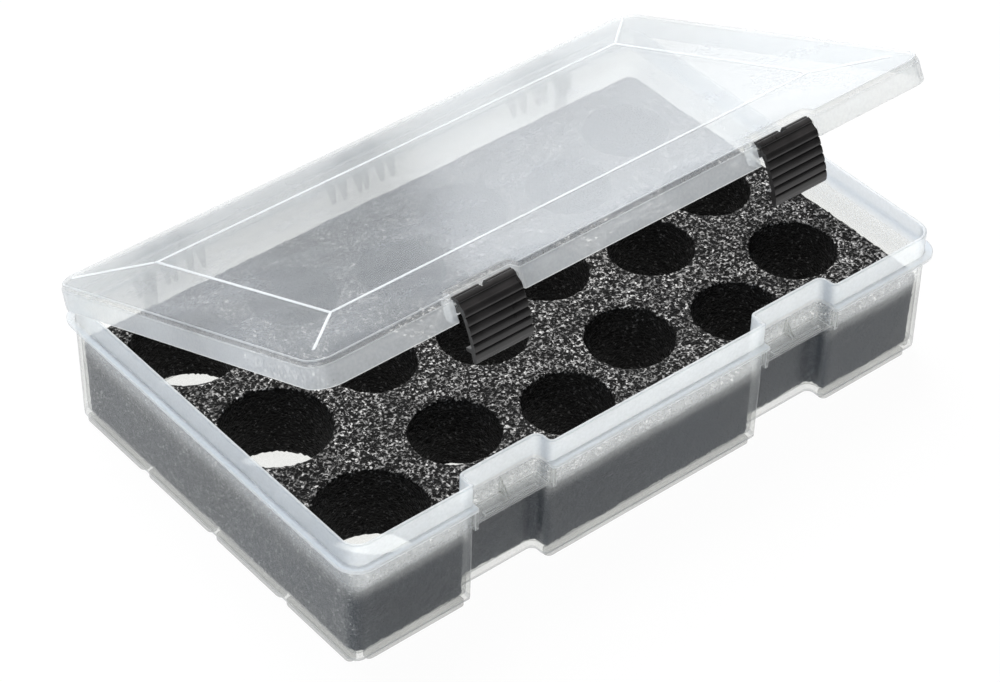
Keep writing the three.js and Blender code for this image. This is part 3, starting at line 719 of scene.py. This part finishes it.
# ---------------------------------------------------------------- latches
LATCH_HALF = 15.5
HEAD_RADIUS = 3.95
HEAD_FROM, HEAD_TO, HEAD_PITCH = 62.0, 158.0, 56.0  # degrees
HEAD_GROOVE = 0.5
RIDGES = 6
RIDGE_TOP, RIDGE_PITCH, RIDGE_DIP = 68.8, 4.05, 0.7
RIDGE_STEPS = (-1.0, -0.88, -0.72, -0.4, 0.0, 0.4, 0.72, 0.88, 1.0)
BARREL_RADIUS, BARREL_BORE = 3.6, 1.7
SLOT_HALF = 1.9
LATCH_SMOOTH = 48.0
LATCH_BEVEL_ANGLE = 60.0


def crest(z):
    """How far forward the ridges' crests stand at height z: a shallow bow that turns in at the thumb edge."""
    t = (z - 54.0) / 18.0
    thumb = 0.9 * ((50.0 - z) / 8.0) ** 2 if z < 50.0 else 0.0
    return -113.4 + 1.6 * t * t + thumb


def latch_profile():
    """Rolled head, rounded grip ridges and a plain thumb edge; then the back, the hook and the barrel."""
    face = []
    head_steps = 24
    for k in range(head_steps + 1):
        angle = lerp(HEAD_FROM, HEAD_TO, k / head_steps)
        u = ((HEAD_TO - angle) / HEAD_PITCH) % 1.0
        r = HEAD_RADIUS - HEAD_GROOVE * abs(2.0 * u - 1.0) ** 6
        a = math.radians(angle)
        face.append((PIVOT_Y + r * math.cos(a), PIVOT_Z + r * math.sin(a)))
    for i in range(RIDGES):
        mid = RIDGE_TOP - (i + 1) * RIDGE_PITCH
        for t in RIDGE_STEPS:
            z = mid - t * RIDGE_PITCH / 2
            face.append((crest(z) + RIDGE_DIP * abs(t) ** 6, z))
    face += [(crest(43.0) + 0.15, 43.0), (crest(42.0) + 0.2, 42.0), (crest(41.4) + 0.75, 41.2)]
    face += [(-109.7, 41.0)]
    back = [(-109.1, 41.6), (-109.4, 44.5), (-109.7, 46.0)]
    back += [(-106.6, 46.9), (-106.4, 47.2), (-106.4, 48.1), (-106.6, 48.35), (-110.5, 48.35)]
    back += [(-110.8, 50.0), (-111.0, 54.0), (-110.8, 60.0), (-110.4, 63.2), (-109.6, 64.9)]
    back += circle(PIVOT_Y, PIVOT_Z, BARREL_RADIUS, 228, 340, 10)
    back += circle(PIVOT_Y, PIVOT_Z, BARREL_BORE, 330, 30, 24)
    back += circle(PIVOT_Y, PIVOT_Z, BARREL_RADIUS, 20, 60, 4)
    return face + back


def make_latch(cx, name, body):
    """A latch, with a slot in its barrel for the lid's middle tab."""
    verts, faces = prism_x(latch_profile(), cx - LATCH_HALF, cx + LATCH_HALF)
    obj = finish_mesh(name, opened(verts), faces, BLACK, body, smooth_angle=LATCH_SMOOTH)
    slot_verts, slot_faces = box_mesh(cx - SLOT_HALF, cx + SLOT_HALF, PIVOT_Y - 2.2, PIVOT_Y + 6.0,
                                      PIVOT_Z - 6.0, PIVOT_Z + 6.0)
    cutter = finish_mesh(name + "_slot", opened(slot_verts), slot_faces, BLACK, body)
    cut = obj.modifiers.new("slot", "BOOLEAN")
    cut.object = cutter
    cut.operation = "DIFFERENCE"
    obj.modifiers.move(len(obj.modifiers) - 1, 0)
    with bpy.context.temp_override(object=obj, active_object=obj, selected_objects=[obj]):
        bpy.ops.object.modifier_apply(modifier="slot")
    bpy.data.objects.remove(cutter)
    return bevelled(obj, 0.3, angle=LATCH_BEVEL_ANGLE)


# ---------------------------------------------------------------- foam
VOXEL = 1.5
SEED = 7
GRAIN, GRAIN_OUT, GRAIN_IN = 0.17, 0.3, -0.4
SHRINK = 0.1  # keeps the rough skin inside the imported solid
WAVES, WAVE_RATE, WAVE_DEPTH = 10, 90.0, 0.28


def make_foam():
    """The insert as a fine closed mesh with a rough, granular skin."""
    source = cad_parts["foam_insert"]
    obj = bpy.data.objects.new("foam_block", source.data.copy())
    bpy.context.collection.objects.link(obj)
    obj.data.materials.clear()
    remesh = obj.modifiers.new("remesh", "REMESH")
    remesh.mode = "VOXEL"
    remesh.voxel_size = VOXEL * MM
    dg = bpy.context.evaluated_depsgraph_get()
    mesh = bpy.data.meshes.new_from_object(obj.evaluated_get(dg))
    obj.modifiers.clear()
    obj.data = mesh
    count = len(mesh.vertices)
    co = np.empty(count * 3)
    mesh.vertices.foreach_get("co", co)
    normals = np.empty(count * 3)
    mesh.vertices.foreach_get("normal", normals)
    co = co.reshape(-1, 3)
    normals = normals.reshape(-1, 3)
    rng = np.random.default_rng(SEED)
    amount = rng.normal(0.0, GRAIN, count).clip(GRAIN_IN, GRAIN_OUT) - SHRINK
    wave = np.zeros(count)
    for _ in range(WAVES):
        wave += np.sin(co @ rng.normal(0.0, WAVE_RATE, 3) + rng.uniform(0.0, 6.3))
    amount -= WAVE_DEPTH * (1.0 + (wave / 3.0).clip(-1.0, 1.0))
    co += normals * (amount * MM)[:, None]
    mesh.vertices.foreach_set("co", co.ravel())
    mesh.materials.append(FOAM)
    for p in mesh.polygons:
        p.use_smooth = True
    mesh.update()
    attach(obj, "case_base")
    return obj


tray_parts = [make_tray(), make_feet(), make_catches(), make_tray_knuckles()]
lid_parts = [make_lid(), make_beads(), make_lid_fittings()]
latch_left = make_latch(LATCH_X[0], "latch_left_body", "left_latch")
latch_right = make_latch(LATCH_X[1], "latch_right_body", "right_latch")
foam = make_foam()
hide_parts("tray")
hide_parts("lid")
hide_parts("latch_left")
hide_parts("latch_right")
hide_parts("foam_insert")


# ---------------------------------------------------------------- floor, light and camera
FLOOR_GLOW = 0.97
FLOOR_HALF = 12.0
FLOOR_GAP = 0.0002  # keeps the floor's plane clear of the feet
BACKDROP = (0.76, 0.77, 0.78, 1)


def make_floor():
    """A plain pale floor that gives off light of its own, so that it stays white under the clear case."""
    n = Nodes("pale_floor")
    coords = n.add("ShaderNodeTexCoord").outputs["Object"]
    cloud = n.add("ShaderNodeTexNoise", Vector=coords, Scale=2.0).outputs["Fac"]
    shade = n.ramp(cloud, 0.3, 0.7, 0.018, 0.022)
    colour = n.add("ShaderNodeCombineColor", Red=shade, Green=shade, Blue=shade)
    shader = n.add("ShaderNodeBsdfPrincipled", Roughness=0.9)
    n.tree.links.new(colour.outputs[0], shader.inputs["Base Color"])
    shader.inputs["Specular IOR Level"].default_value = 0.0
    shader.inputs["Emission Color"].default_value = (1, 1, 1, 1)
    shader.inputs["Emission Strength"].default_value = FLOOR_GLOW
    mat = n.finish(shader.outputs[0])
    mesh = bpy.data.meshes.new("floor")
    s = FLOOR_HALF
    mesh.from_pydata([(-s, -s, 0), (s, -s, 0), (s, s, 0), (-s, s, 0)], [], [(0, 1, 2, 3)])
    mesh.materials.append(mat)
    floor = bpy.data.objects.new("floor", mesh)
    floor.location.z = -FLOOR_GAP
    bpy.context.collection.objects.link(floor)


def area_light(name, place, aim, size, power, colour=(1, 1, 1), mirrored=True):
    """A soft panel. mirrored says whether glossy surfaces show it."""
    data = bpy.data.lights.new(name, "AREA")
    data.shape = "RECTANGLE"
    data.size, data.size_y = size
    data.energy = power
    data.color = colour
    light = bpy.data.objects.new(name, data)
    light.location = place
    light.visible_glossy = mirrored
    light.rotation_mode = "QUATERNION"
    light.rotation_quaternion = (Vector(aim) - Vector(place)).to_track_quat("-Z", "Y")
    bpy.context.collection.objects.link(light)


def make_backdrop():
    """A plain pale backdrop. It is seen, also through the clear walls, but it lights nothing."""
    world = bpy.data.worlds.new("studio")
    world.use_nodes = True
    world.node_tree.nodes["Background"].inputs["Color"].default_value = BACKDROP
    bpy.context.scene.world = world  # attached first, because the settings below need it in place
    world.cycles_visibility.diffuse = False
    world.cycles_visibility.glossy = False
    world.cycles_visibility.transmission = False


def make_lights():
    """A strong lamp behind and above, which shines through the clear walls, and three weak soft ones."""
    middle, low = (0, 0, 0.1), (0, 0, 0.05)
    area_light("key_behind", (0.2, 0.92, 1.5), low, (1.5, 1.0), 98.0, mirrored=False)
    area_light("panel_right", (1.6, 1.6, 0.45), middle, (1.4, 0.9), 7.5, (0.92, 0.96, 1.0))
    area_light("top_front", (-0.3, -0.75, 1.45), low, (0.5, 0.4), 4.5)
    area_light("side_left", (-1.5, -0.1, 0.55), low, (1.2, 0.8), 7.0, (0.78, 0.90, 1.0))


CAMERA_ANGLES = (-39.872, 40.526, 0.782)  # azimuth, elevation and roll in degrees
CAMERA_TARGET = (-3.119, SHIFT_Y, 26.505)
CAMERA_DISTANCE = 1.50064
CAMERA_LENS = 114.78


def make_camera():
    azimuth, elevation, roll = map(math.radians, CAMERA_ANGLES)
    back = Vector((math.sin(azimuth) * math.cos(elevation), -math.cos(azimuth) * math.cos(elevation),
                   math.sin(elevation)))
    right = Vector((math.cos(azimuth), math.sin(azimuth), 0.0))
    up = back.cross(right)
    right, up = (right * math.cos(roll) + up * math.sin(roll), up * math.cos(roll) - right * math.sin(roll))
    place = Vector(CAMERA_TARGET) * MM + back * CAMERA_DISTANCE
    data = bpy.data.cameras.new("camera")
    data.lens = CAMERA_LENS
    data.sensor_width = 36.0
    data.clip_start = 0.05
    data.clip_end = 60.0
    camera = bpy.data.objects.new("camera", data)
    camera.matrix_world = Matrix((
        (right.x, up.x, back.x, place.x),
        (right.y, up.y, back.y, place.y),
        (right.z, up.z, back.z, place.z),
        (0, 0, 0, 1),
    ))
    bpy.context.collection.objects.link(camera)
    bpy.context.scene.camera = camera


make_floor()
make_backdrop()
make_lights()
make_camera()
bpy.context.scene.view_settings.view_transform = "Standard"
bpy.context.scene.view_settings.look = "None"
bpy.context.scene.cycles.transparent_max_bounces = 48  # light crosses many thin clear walls
